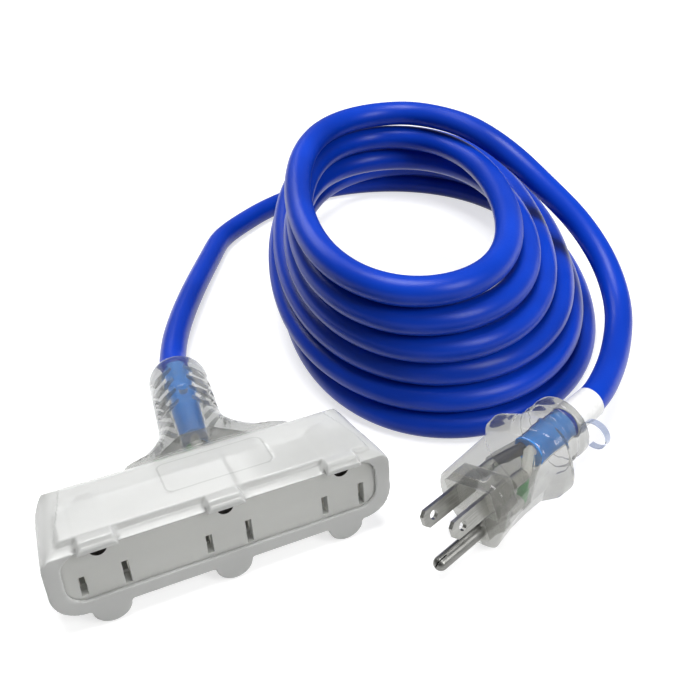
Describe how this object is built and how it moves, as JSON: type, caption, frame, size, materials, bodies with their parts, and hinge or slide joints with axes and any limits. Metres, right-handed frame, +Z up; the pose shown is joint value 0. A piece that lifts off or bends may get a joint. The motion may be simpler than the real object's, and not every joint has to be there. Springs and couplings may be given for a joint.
{
  "type": "extension cord",
  "caption": "Outdoor extension cord with a clear tap that has a row of outlets, a stacked coil of round blue cord and a clear grounded plug.",
  "frame": {"origin": "on the floor, under the middle of the tap's own box", "axes": "+X along the row of outlets, to the right as one faces them; +Y from the outlets towards the cord; +Z up"},
  "size_m": [0.2812, 0.2952, 0.0807],
  "materials": {
    "clear_pvc": "clear, slightly hazy moulded PVC with a satin skin",
    "milky_pvc": "translucent moulded insert",
    "jacket": "smooth blue cord jacket with a soft sheen",
    "brass": "stamped strip",
    "plated_steel": "nickel-plated, lightly rubbed",
    "black_insulation": "extruded",
    "white_insulation": "extruded",
    "green_insulation": "extruded",
    "label": "printed wrap, left blank",
    "film": "thin clear film"
  },
  "bodies": {
    "root": {"tap_shell": "clear_pvc", "outlet_face": "clear_pvc", "contact_carrier": "milky_pvc", "line_bus": "brass", "neutral_bus": "brass", "ground_bus": "brass", "tap_line_wire": "black_insulation", "tap_neutral_wire": "white_insulation", "tap_ground_wire": "green_insulation", "tap_line_crimp": "plated_steel", "tap_neutral_crimp": "plated_steel", "tap_ground_crimp": "plated_steel", "tap_jacket": "jacket", "tap_lead": "jacket", "coil": "jacket", "plug_lead": "jacket", "cord_label": "label", "label_film": "film", "plug_shell": "clear_pvc", "plug_core": "milky_pvc", "line_blade": "plated_steel", "neutral_blade": "plated_steel", "ground_pin": "plated_steel", "plug_line_wire": "black_insulation", "plug_neutral_wire": "white_insulation", "plug_ground_wire": "green_insulation", "plug_line_crimp": "plated_steel", "plug_neutral_crimp": "plated_steel", "plug_ground_crimp": "plated_steel", "plug_jacket": "jacket"}
  },
  "joints": []
}
